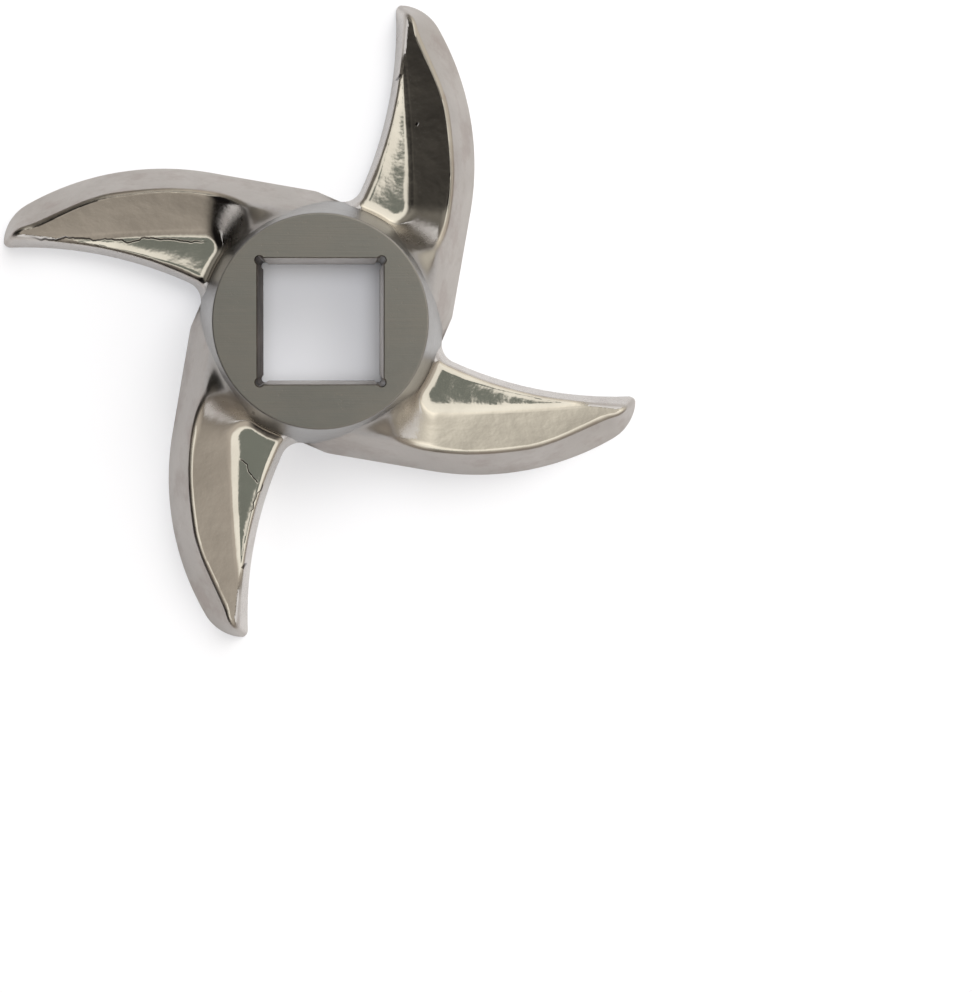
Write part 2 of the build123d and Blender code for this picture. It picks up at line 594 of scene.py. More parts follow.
    def normal(self, x: Array, y: Array, z: Array) -> Array:
        """Outward unit normals: minus the gradient of depth, by central differences.

        The step is wider round the hub, so the casting's faces flow into one another there.

        Args:
            x: Places across the first arm.
            y: Places along the first arm.
            z: Heights.

        Returns:
            Array of the shape of x with a last axis of 3.
        """
        past_face, over_table = 0.1, 0.6
        r = np.hypot(x, y)
        on_flank = (r > self.hub_face_radius + past_face) & (z > over_table)
        run = [self.hub_base_radius + part for part in self.step_run]
        step = np.where(on_flank, eased(r, run, [self.hub_step, self.arm_step]), self.plain_step)
        gradient = np.stack([
            self.depth(x + step, y, z) - self.depth(x - step, y, z),
            self.depth(x, y + step, z) - self.depth(x, y - step, z),
            self.depth(x, y, z + step) - self.depth(x, y, z - step),
        ], axis=-1)
        return -gradient / np.maximum(np.linalg.norm(gradient, axis=-1, keepdims=True), 1e-9)


def resampled(points: Array, at: Array) -> Array:
    """Points at shares of a polyline's length, by linear interpolation along its running length.

    Args:
        points: Corners of the polyline, of shape (corners, 2).
        at: Shares from 0 to 1.

    Returns:
        Array of shape (len(at), 2).
    """
    steps = np.hypot(*np.diff(points, axis=0).T)
    run = np.concatenate([[0], np.cumsum(steps)])
    run /= run[-1]
    return np.stack([np.interp(at, run, points[:, 0]), np.interp(at, run, points[:, 1])], axis=-1)


def spread(stops: Array, counts: Sequence[int]) -> Array:
    """Columns between stops: each span between two neighbouring stops is cut into equal parts.

    Args:
        stops: Array of shape (rows, len(counts) + 1) with rising stops in each row.
        counts: How many parts each span has.

    Returns:
        Array of shape (rows, sum(counts) + 1).
    """
    parts = [stops[:, :1]]
    for i, count in enumerate(counts):
        share = np.arange(1, count + 1) / count
        parts.append(stops[:, i:i + 1] + (stops[:, i + 1:i + 2] - stops[:, i:i + 1]) * share)
    return np.concatenate(parts, axis=1)


def first_over(z: Array, level: Number, start: Array, otherwise: Array) -> Array:
    """Column, in each row from start on, of the first point over a level.

    Args:
        z: Heights of shape (rows, columns).
        level: Level in each row.
        start: Column in each row to start from.
        otherwise: Column to take in a row that never rises over its level.

    Returns:
        One column for each row.
    """
    over = (z > np.reshape(level, (-1, 1))) & (np.arange(z.shape[1]) >= start[:, None])
    return np.where(over.any(axis=1), over.argmax(axis=1), otherwise)


def row_points(share: Array, a: Array, b: Array) -> tuple[Array, Array]:
    """Points at shares of each row: bearing and radius both run evenly from end to end.

    Args:
        share: Array of shape (rows, columns).
        a: Leading ends of shape (rows, 2).
        b: Back ends of shape (rows, 2).

    Returns:
        x and y, each of shape (rows, columns).
    """
    ra, rb = np.hypot(*a.T)[:, None], np.hypot(*b.T)[:, None]
    ta, tb = np.arctan2(a[:, 1], a[:, 0])[:, None], np.arctan2(b[:, 1], b[:, 0])[:, None]
    r, t = ra + (rb - ra) * share, ta + (tb - ta) * share
    return r * np.cos(t), r * np.sin(t)


@dataclass(frozen=True)
class Buffing:
    """Where the wheel has polished the casting and where it couldn't reach, in millimetres.

    Pairs are the start and the end of a change, as heights or as distances from the hub's axis.
    """

    crest_fade: float = 0.16
    hub_skin: float = 0.05
    hub_share: float = 0.5
    hub_least: float = 0.12
    lead_share: float = 0.35
    lead_start: float = 0.02
    lead_fade: float = 0.2
    flare_levels: Plan = (7.4, 8.8)
    flare_radii: Plan = (15.5, 18.0)
    root_levels: Plan = (3.2, 4.2)
    root_radii: Plan = (14.8, 18.0)
    root_loss: float = 0.7
    hub_ground: float = 0.9
    flare_ground: float = 0.5

    def shares(self, form: Casting, x: Array, y: Array, z: Array) -> Array:
        """Shares of polished, ground and bore metal over the casting's skin.

        The scoop is polished, which fades over the crest and the lip and in the tight root beside
        the hub. The hub's flank and the flare are part ground, and the rest is satin, with no share.

        Args:
            form: The casting.
            x: Places across the first arm.
            y: Places along the first arm.
            z: Heights.

        Returns:
            Array of the shape of x with a last axis of 3.
        """
        r = np.hypot(x, y)
        polish = 1 - eased(-form.scoop_depth(x, y, z), [0.0, self.crest_fade], [0.0, 1.0])
        hub = (form.hub_depth(x, y, z) > -self.hub_skin) & (r < form.hub_base_radius)
        polish = np.where(hub, np.maximum(polish * self.hub_share, self.hub_least), polish)
        lead = 1 - np.clip((-form.lead_depth(x, y, z) - self.lead_start) / self.lead_fade, 0, 1)
        polish = np.maximum(polish, self.lead_share * lead)
        flare = eased(z, self.flare_levels, [0.0, 1.0]) * eased(r, self.flare_radii, [1.0, 0.0])
        root = eased(z, self.root_levels, [0.0, 1.0]) * eased(r, self.root_radii, [1.0, 0.0])
        polish = polish * (1 - flare) * (1 - self.root_loss * root)
        ground = np.maximum(self.hub_ground * hub, self.flare_ground * flare)
        return np.stack([polish, ground, np.zeros_like(polish)], axis=-1)


@dataclass
class KnifeSkin:
    """The skin of one arm and of its part of the hub's flank, as one grid.

    Rows run across the arm, from its leading edge over the lip, the scoop and the crest to the back,
    and the first ones are the collar round the hub. Columns lie closest where the skin bends most.
    """

    form: Casting
    collar_rows: int = 44
    body_rows: int = 112
    body_share: float = 0.93
    nose_rows: int = 26
    nose_crowding: float = 1.6
    spans: tuple[int, ...] = (9, 4, 9, 3, 8, 12, 8, 8, 14)
    trial_columns: int = 700
    smoothings: int = 6
    least_span: float = 0.004
    crest_room: float = 1.4
    room_limits: Plan = (0.03, 0.16)
    arc_points: int = 200
    line_points: int = 60
    nose_points: int = 20
    edge_inset: float = 0.002
    cap_press: float = 1.1

    def edges(self) -> tuple[Array, Array]:
        """The leading and the back edge of an arm on the underside, each from the hub to the nose.

        The cap beyond the tip's end is pressed down to the CAD's flat one, and micrometres further
        in its middle, so that no three of its points stand in line.

        Returns:
            The plan points of both edges, each of shape (points, 2).
        """
        f = self.form
        center = np.array(f.corner_center(0.0, f.lead_center, f.lead_radius, f.lead_corner))
        start, end = bearing_of(-center), bearing_of(center - f.lead_center)
        nose = self.nose_center()
        at_lead, at_tip = bearing_of(f.lead_center - nose) % 360, bearing_of(nose - f.tip_center)
        middle = (at_lead + at_tip % 360) / 2
        lead = np.concatenate([
            arc(center, f.lead_corner, start, end + (360 if end < start else 0), self.line_points),
            arc(f.lead_center, f.lead_radius, end, bearing_of(nose - f.lead_center), self.arc_points)[1:],
            arc(nose, f.nose_radius, at_lead, middle, self.nose_points)[1:],
        ])
        back = np.concatenate([
            np.linspace(turned(lead[0], -90), f.back_root, self.nose_points),
            np.linspace(f.back_root, f.line_end, self.line_points)[1:],
            arc(f.back_center, f.back_radius, -f.back_lean, f.shoulder_bearing, self.arc_points)[1:],
            arc(f.tip_center, f.tip_radius, f.shoulder_bearing, at_tip, self.line_points)[1:],
            arc(nose, f.nose_radius, at_tip, middle, self.nose_points)[1:],
        ])
        tip_end = f.tip_center + f.tip_radius * toward(f.tip_end_bearing)
        for edge in (lead, back):
            over = edge[:, 1] - (tip_end[1] - self.edge_inset)
            edge[:, 1] -= self.cap_press * np.maximum(over, 0)
        return lead, back

    def nose_center(self) -> Array:
        """Centre of the nose's arc, inside the tip's circle and outside the leading arc's.

        Its distances from the two centres are known, a and b, so with l the distance between them
        it lies (l^2 + a^2 - b^2) / 2l along the way from the leading arc's centre.

        Returns:
            The plan centre.
        """
        f = self.form
        a, b = f.lead_radius + f.nose_radius, f.tip_radius - f.nose_radius
        gap = f.tip_center - f.lead_center
        length = math.hypot(*gap)
        along = (length ** 2 + a ** 2 - b ** 2) / (2 * length)
        off = math.sqrt(a ** 2 - along ** 2)
        return f.lead_center + gap / length * along + turned(gap / length, 90) * off

    def row_ends(self) -> tuple[Array, Array]:
        """Plan points at the leading and at the back end of every row across an arm.

        Rows are even along the body and crowd towards the nose.

        Returns:
            The leading and the back ends, each of shape (rows, 2).
        """
        lead, back = self.edges()
        body = self.body_share * np.linspace(0, 1, self.body_rows + 1)
        left = 1 - np.arange(1, self.nose_rows + 1) / self.nose_rows
        nose = self.body_share + (1 - self.body_share) * (1 - left ** self.nose_crowding)
        rows = np.concatenate([body, nose])
        return resampled(lead, rows), resampled(back, rows)

    def arm_grid(self) -> tuple[Array, Array, Array]:
        """Collar and arm grid of one quarter.

        Trial columns first find where each row's lip, floor and crest lie, and the columns that
        are kept are then spread between these.

        Returns:
            x, y and z of shape (rows, columns).
        """
        f = self.form
        a, b = self.row_ends()
        inner = f.hub_face_radius - f.hub_edge_break
        radii = np.linspace(inner, f.hub_base_radius, self.collar_rows + 1)[:-1]
        a = np.concatenate([radii[:, None] * a[0] / np.hypot(*a[0]), a])
        b = np.concatenate([radii[:, None] * b[0] / np.hypot(*b[0]), b])
        trial = np.linspace(0, 1, self.trial_columns)
        share = np.broadcast_to(trial, (len(a), self.trial_columns)).copy()
        x, y = row_points(share, a, b)
        stops = self.feature_stops(share, f.height(x, y), np.hypot(*(a - b).T))
        x, y = row_points(spread(stops, self.spans), a, b)
        z = f.height(x, y)
        z[self.collar_rows:, [0, -1]] = 0
        z[0] = f.hub_height
        z[-1] = 0
        return x, y, z

    def feature_stops(self, share: Array, z: Array, lengths: Array) -> Array:
        """Shares of each row at its lip, its floor's fillet and its crest, smoothed along the arm.

        Args:
            share: Shares of the points that were tried, the same in every row.
            z: Height of the skin at those points.
            lengths: Length of each row in millimetres.

        Returns:
            Array of shape (rows, len(spans) + 1).
        """
        f = self.form
        lip_part, past_lip, fillet_rise, wall_rise = 0.9, 12, 0.02, 0.35
        crest = np.argmax(z, axis=1)
        top = z[np.arange(len(z)), crest]
        lip_level = np.minimum(f.lip_height, top) * lip_part
        lip = np.minimum(first_over(z, lip_level, np.zeros(len(z)), crest), crest)
        fillet = np.minimum(first_over(z, f.lip_height + fillet_rise, lip + past_lip, crest), crest)
        wall = np.minimum(first_over(z, f.lip_height + wall_rise, fillet, crest), crest)
        lip, fillet, wall, crest = (column * share[0, 1] for column in (lip, fillet, wall, crest))
        room = np.clip(self.crest_room * f.ridge_fillet / np.maximum(lengths, 1), *self.room_limits)
        return self.ordered(lip, fillet, wall, crest, room)

    def ordered(self, lip: Array, fillet: Array, wall: Array, crest: Array, room: Array) -> Array:
        """Stops in rising order, with room round the lip and the crest for their rounded edges.

        Args:
            lip: Share of each row at its lip.
            fillet: Share at the start of the floor's fillet.
            wall: Share at the foot of the scoop's wall.
            crest: Share at the crest.
            room: Share that the crest's rounding takes on either side.

        Returns:
            Array of shape (rows, len(spans) + 1).
        """
        before_lip, past_lip, before_fillet, past_fillet = 0.012, 0.02, 0.01, 0.02
        for value in (lip, fillet, wall, crest, room):
            value[:self.collar_rows] = value[self.collar_rows + 1]
        stops = np.stack([
            np.zeros(len(lip)), lip - before_lip, lip + past_lip, fillet - before_fillet,
            fillet + past_fillet, wall, crest - room, crest, crest + room, np.ones(len(lip)),
        ], axis=1)
        kernel = np.array([1, 4, 6, 4, 1]) / 16
        last = stops.shape[1] - 1
        for i in range(1, last):
            for _ in range(self.smoothings):
                stops[:, i] = np.convolve(np.pad(stops[:, i], 2, mode="edge"), kernel, mode="valid")
        for i in range(1, last + 1):
            stops[:, i] = np.maximum(stops[:, i], stops[:, i - 1] + self.least_span)
        for i in range(last - 1, -1, -1):
            stops[:, i] = np.minimum(stops[:, i], stops[:, i + 1] - self.least_span)
        stops[:, 0], stops[:, last] = 0, 1
        return stops


@dataclass
class Patch:
    """A part of the surface: its points, and at each of them a normal and the finish's shares.

    Faces hold four corners, and a triangle repeats its last one.
    """

    points: Array
    normals: Array
    zones: Array
    faces: Array


def grid_faces(rows: int, columns: int) -> Array:
    """Four-sided faces of a grid: (i, j), (i, j + 1), (i + 1, j + 1), (i + 1, j).

    Args:
        rows: How many rows of points the grid has.
        columns: How many points each row has.

    Returns:
        Array of shape (faces, 4).
    """
    number = np.arange(rows * columns).reshape(rows, columns)
    corners = [number[:-1, :-1], number[:-1, 1:], number[1:, 1:], number[1:, :-1]]
    return np.stack(corners, axis=-1).reshape(-1, 4)


def flat_patch(outer: Array, inner: Array, level: float, facing: Facing, zone: Zone) -> Patch:
    """Flat face between an outer outline and a hole, cut into triangles.

    Args:
        outer: Outer outline in plan.
        inner: Outline of the hole in plan.
        level: Height of the face.
        facing: Which way the face looks.
        zone: Its finish.

    Returns:
        The face as a patch.
    """
    loops = [[Vector((px, py, 0)) for px, py in loop] for loop in (outer, inner)]
    triangles = np.array(tessellate_polygon(loops))
    plan = np.concatenate([outer, inner])
    points = np.column_stack([plan, np.full(len(plan), level)])
    p = points[triangles]
    doubled = np.cross(p[:, 1] - p[:, 0], p[:, 2] - p[:, 0])[:, 2]
    if doubled.sum() * facing.value < 0:
        triangles = triangles[:, ::-1]
    normals = np.tile([0.0, 0.0, facing.value], (len(points), 1))
    faces = np.column_stack([triangles, triangles[:, 2]])
    return Patch(points, normals, np.tile(zone.value, (len(points), 1)), faces)


@dataclass
class Bore:
    """The square drive hole, with a relief down each corner and both mouths broken."""

    form: Casting
    relief: float = 0.45
    edge: float = 0.1
    relief_points: int = 21
    levels: int = 12
    mouth_tilt: float = 0.7

    def ring(self, outset: float) -> tuple[Array, Array]:
        """Outline of the hole and its inward normals, anticlockwise.

        A quarter is a straight run and then a relief's arc, and the other three are it turned.

        Args:
            outset: How far the outline is moved out.

        Returns:
            Points and normals, each of shape (points, 2).
        """
        half, radius = self.form.drive_square / 2 + outset, self.relief + outset
        inset = (self.form.drive_square - self.relief) / 2
        reach = math.sqrt(radius ** 2 - (half - inset) ** 2)
        bite = math.degrees(math.atan2(half - inset, reach))
        side = np.array([[half, reach - inset], [half, inset - reach]])
        ways = toward(np.linspace(bite - 90, 180 - bite, self.relief_points))
        bow = np.array([inset, inset]) + radius * ways
        out = np.concatenate([np.tile([1.0, 0.0], (len(side), 1)), ways])
        quarter = np.concatenate([side, bow])
        points, normals = [], []
        for place in range(4):
            c, s = quarter_turn(place)
            turn = np.array([[c, s], [-s, c]], float)
            points.append(quarter @ turn)
            normals.append(-out @ turn)
        return np.concatenate(points), np.concatenate(normals)

    def wall(self) -> Patch:
        """The hole's walls as rings from the face's mouth down to the underside's.

        Returns:
            The walls as a patch.
        """
        top = self.form.hub_height
        between = np.linspace(top - self.edge, self.edge, self.levels)
        levels = np.concatenate([[top], between, [0.0]])
        outsets = np.zeros(len(levels))
        outsets[[0, -1]] = self.edge
        rings = [self.ring(outset) for outset in outsets]
        points = np.stack([
            np.column_stack([ring, np.full(len(ring), level)]) for (ring, _), level in zip(rings, levels)])
        normals = np.stack([np.column_stack([normal, np.zeros(len(normal))]) for _, normal in rings])
        normals[0, :, 2], normals[-1, :, 2] = self.mouth_tilt, -self.mouth_tilt
        normals /= np.linalg.norm(normals, axis=-1, keepdims=True)
        points = np.concatenate([points, points[:, :1]], axis=1)
        normals = np.concatenate([normals, normals[:, :1]], axis=1)
        count = points.shape[0] * points.shape[1]
        zones = np.tile(Zone.BORE.value, (count, 1))
        return Patch(points.reshape(-1, 3), normals.reshape(-1, 3), zones, grid_faces(*points.shape[:2]))


def welded(points: Array, faces: Array) -> tuple[Array, Array, Array, Array]:
    """Joins points that share a place and drops the faces that are left without a size.

    A face with one repeated corner becomes a triangle, whose fourth place is out of use.

    Args:
        points: Points in millimetres, of shape (points, 3).
        faces: Corners of the faces, of shape (faces, 4).

    Returns:
        The points that are kept, the corners before the weld, the corners as numbers of the points
        that are kept, and how many corners each face has.
    """
    grid = np.round(points / WELD_DISTANCE).astype(np.int64)
    _, kept, joined = np.unique(grid, axis=0, return_index=True, return_inverse=True)
    corners = joined.reshape(-1)[faces]
    repeats = corners == np.roll(corners, 1, axis=1)
    sides = 4 - repeats.sum(axis=1)
    folded = (corners[:, 0] == corners[:, 2]) | (corners[:, 1] == corners[:, 3])
    sound = (sides >= 3) & ~folded
    faces, corners, repeats, sides = faces[sound], corners[sound], repeats[sound], sides[sound]
    order = np.argsort(repeats, axis=1, kind="stable")
    order[sides == 4] = np.arange(4)
    order[sides == 3] = np.sort(order[sides == 3][:, :3], axis=1)[:, [0, 1, 2, 2]]
    return kept, np.take_along_axis(faces, order, axis=1), np.take_along_axis(corners, order, axis=1), sides


@dataclass
class KnifeMesh:
    """Joins the patches into one closed mesh in metres."""

    form: Casting
    buffing: Buffing = Buffing()
    rim_tilt: float = 0.7
    least_height: float = 0.02

    def patches(self) -> list[Patch]:
        """The arms with their parts of the collar, the bore's walls and the two flat faces.

        Returns:
            The patches.
        """
        f, skin, bore = self.form, KnifeSkin(self.form), Bore(self.form)
        x, y, z = skin.arm_grid()
        normals = f.normal(x, y, np.maximum(z, self.least_height))
        normals[0] = (1 - self.rim_tilt) * normals[0] + np.array([0, 0, self.rim_tilt])
        normals /= np.linalg.norm(normals, axis=-1, keepdims=True)
        zones = self.buffing.shares(f, x, y, z)
        faces = grid_faces(*x.shape)
        found, rim, base = [], [], []
        collar = skin.collar_rows
        for quarter in range(f.arm_count):
            c, s = quarter_turn(quarter)
            turn = np.array([[c, s, 0], [-s, c, 0], [0, 0, 1]], float)
            points, ways = np.stack([x, y, z], axis=-1) @ turn, normals @ turn
            found.append(Patch(*(part.reshape(-1, 3) for part in (points, ways, zones)), faces))
            rim.insert(0, points[0, :-1, :2])
            base.insert(0, np.concatenate([points[collar:-1, 0, :2], points[:collar:-1, -1, :2]]))
        mouth, _ = bore.ring(bore.edge)
        found.append(bore.wall())
        found.append(flat_patch(np.concatenate(rim), mouth, f.hub_height, Facing.UP, Zone.GROUND))
        found.append(flat_patch(np.concatenate(base), mouth, 0.0, Facing.DOWN, Zone.GROUND))
        return found

    def build(self, name: str) -> bpy.types.Object:
        """Makes the mesh from whole arrays, with each corner's own normal and finish.

        Args:
            name: Name of the piece.

        Returns:
            The piece, linked to the scene.
        """
        patches = self.patches()
        points = np.concatenate([patch.points for patch in patches])
        normals = np.concatenate([patch.normals for patch in patches])
        zones = np.concatenate([patch.zones for patch in patches])
        starts = np.cumsum([0] + [len(patch.points) for patch in patches[:-1]])
        faces = np.concatenate([patch.faces + start for patch, start in zip(patches, starts)])
        kept, corners, joined, sides = welded(points, faces)
        used = np.arange(4) < sides[:, None]
        corners, joined = corners[used], joined[used]

        mesh = bpy.data.meshes.new(name)
        mesh.vertices.add(len(kept))
        mesh.vertices.foreach_set("co", (points[kept] * MILLIMETRE).astype(np.float32).ravel())
        mesh.loops.add(len(corners))
        mesh.loops.foreach_set("vertex_index", joined.astype(np.int32))
        mesh.polygons.add(len(sides))
        mesh.polygons.foreach_set("loop_start", np.concatenate([[0], np.cumsum(sides)[:-1]]).astype(np.int32))
        mesh.update(calc_edges=True)
        mesh.polygons.foreach_set("use_smooth", np.ones(len(sides), dtype=bool))
        shares = mesh.attributes.new("zones", "FLOAT_COLOR", "CORNER")
        rgba = np.column_stack([zones[corners], np.ones(len(corners))])
        shares.data.foreach_set("color", rgba.astype(np.float32).ravel())
        mesh.normals_split_custom_set(normals[corners].tolist())
        if mesh.validate(verbose=False):
            log.warning("%s needed repair", name)
        piece = bpy.data.objects.new(name, mesh)
        bpy.context.scene.collection.objects.link(piece)
        log.info("%s: %d points, %d faces", name, len(kept), len(sides))
        return piece


Value = Union[float, "Signal"]
Tint = Union[Colour, "Signal"]


class Signal:
    """An output socket that takes arithmetic: each operator adds a Math node."""

    def __init__(self, shader: "Shader", socket: bpy.types.NodeSocket) -> None:
        """Keeps the socket and the shader whose nodes it belongs to."""
        self.shader, self.socket = shader, socket

    def _math(self, operation: str, *values: Value) -> "Signal":
        """Result of one Math node on the values."""
        return self.shader.node("ShaderNodeMath", {"operation": operation}, dict(enumerate(values)))[0]

    def __add__(self, other: Value) -> "Signal":
        """Sum."""
        return self._math("ADD", self, other)

    def __radd__(self, other: Value) -> "Signal":
        """Sum, with the signal on the right."""
        return self._math("ADD", other, self)

    def __sub__(self, other: Value) -> "Signal":
        """Difference."""
        return self._math("SUBTRACT", self, other)

    def __rsub__(self, other: Value) -> "Signal":
        """Difference, with the signal on the right."""
        return self._math("SUBTRACT", other, self)

    def __mul__(self, other: Value) -> "Signal":
        """Product."""
        return self._math("MULTIPLY", self, other)

    def __rmul__(self, other: Value) -> "Signal":
        """Product, with the signal on the right."""
        return self._math("MULTIPLY", other, self)

    def __pow__(self, other: Value) -> "Signal":
        """Power."""
        return self._math("POWER", self, other)

    def __rpow__(self, other: Value) -> "Signal":
        """Power, with the signal as the exponent."""
        return self._math("POWER", other, self)

    def __abs__(self) -> "Signal":
        """Distance from zero."""
        return self._math("ABSOLUTE", self)


class Shader:
    """Adds nodes to one material's or world's tree."""

    def __init__(self, tree: bpy.types.NodeTree) -> None:
        """Starts from an empty tree."""
        self.tree = tree
        tree.nodes.clear()

    def node(self, kind: str, settings: dict[str, Any], inputs: dict[Any, Any]) -> list[Signal]:
        """Adds a node.

        Args:
            kind: The node's type.
            settings: Properties, which are set first.
            inputs: Values or signals by the socket's name or place. A colour gets its alpha.

        Returns:
            The node's outputs that are switched on.
        """
        made = self.tree.nodes.new(kind)
        for name, value in settings.items():
            setattr(made, name, value)
        for place, value in inputs.items():
            socket = made.inputs[place]
            if isinstance(value, Signal):
                self.tree.links.new(value.socket, socket)
            else:
                socket.default_value = (*value, 1) if socket.type == "RGBA" else value
        return [Signal(self, output) for output in made.outputs if output.enabled]

    def split(self, vector: Signal) -> list[Signal]:
        """The x, y and z of a vector."""
        return self.node("ShaderNodeSeparateXYZ", {}, {0: vector})

    def mixed(self, share: Value, a: Tint, b: Tint) -> Signal:
        """Colour between a and b."""
        return self.node("ShaderNodeMix", {"data_type": "RGBA"}, dict(zip(MIX_COLOURS, (share, a, b))))[0]

    def blend(self, share: Value, a: Value, b: Value) -> Signal:
        """Number between a and b."""
        return self.node("ShaderNodeMix", {"data_type": "FLOAT"}, dict(zip(MIX_NUMBERS, (share, a, b))))[0]

    def between(self, value: Value, low: float, high: float, a: float = 0.0, b: float = 1.0) -> Signal:
        """Smooth step of a value.

        Args:
            value: The value.
            low: Where the step starts. It may be over high.
            high: Where the step ends.
            a: Result at low and beyond.
            b: Result at high and beyond.

        Returns:
            The result.
        """
        span = {"Value": value, "From Min": low, "From Max": high, "To Min": a, "To Max": b}
        return self.node("ShaderNodeMapRange", {"interpolation_type": "SMOOTHSTEP"}, span)[0]

    def noise(self, where: Signal, size: float, stretch: float = 1.0, detail: float = 3.0,
              roughness: float = 0.5) -> Signal:
        """Noise in a piece's own place.

        Args:
            where: Object coordinates.
            size: Width of a lump in millimetres.
            stretch: How many times longer a lump is along X.
            detail: How many finer layers are added.
            roughness: Weight of each finer layer.

        Returns:
            The noise, about 0.5 in the mean.
        """
        scale = tuple(1 / (MILLIMETRE * size * along) for along in (stretch, 1, 1))
        placed = self.node("ShaderNodeMapping", {}, {"Vector": where, "Scale": scale})[0]
        layers = {"Vector": placed, "Scale": 1.0, "Detail": detail, "Roughness": roughness}
        return self.node("ShaderNodeTexNoise", {}, layers)[0]

    def swirl(self, way: Signal, scale: float, span: float) -> Signal:
        """Noise by direction, which strays to both sides of 0 over a span."""
        layers = {"Vector": way, "Scale": scale, "Detail": 3.0}
        return (self.node("ShaderNodeTexNoise", {}, layers)[0] - 0.5) * span

    def scar(self, where: Signal, scar: "Scar") -> Signal:
        """Share of a thin wandering line between two plan points.

        The line runs along the local X axis. It is 1 where |y + wander * 2 (noise(x) - 0.5)| is
        small against the width and |x| is under half the length, with soft ends.

        Args:
            where: Object coordinates.
            scar: The line.

        Returns:
            The share.
        """
        (ax, ay), (bx, by) = scar.start, scar.end
        half_length = math.hypot(bx - ax, by - ay) / 2
        middle = ((ax + bx) / 2 * MILLIMETRE, (ay + by) / 2 * MILLIMETRE, 0)
        placed = self.node("ShaderNodeMapping", {"vector_type": "TEXTURE"}, {
            "Vector": where, "Location": middle, "Rotation": (0, 0, math.atan2(by - ay, bx - ax)),
            "Scale": (MILLIMETRE,) * 3})[0]
        x, y = self.split(placed)[:2]
        along = self.node("ShaderNodeCombineXYZ", {}, {0: x, 1: ax, 2: by})[0]
        off = abs(y + self.swirl(along, scar.wander_scale, 2 * scar.wander))
        inside = self.between(abs(x), half_length, half_length * scar.even_part)
        return self.between(off, scar.width, scar.width * scar.core_part) * inside


@dataclass(frozen=True)
class Scar:
    """A thin mark on the casting, as a line between two plan points in millimetres."""

    start: Plan
    end: Plan
    width: float
    wander: float = 0.0
    wander_scale: float = 0.45
    even_part: float = 0.8
    core_part: float = 0.35


@dataclass
class Textures:
    """Signals that the metal's finish is mixed from, all by place on the casting."""

    x: Signal
    y: Signal
    z: Signal
    polish: Signal
    ground: Signal
    bore: Signal
    cloud: Signal
    fleck: Signal
    grain: Signal
    lines: Signal
    broad: Signal
    pits: Signal
    blotch: Signal
    # Mask of the painted shadow on the bore's -X wall
    painted_wall_shadow: Signal
    scars: Signal


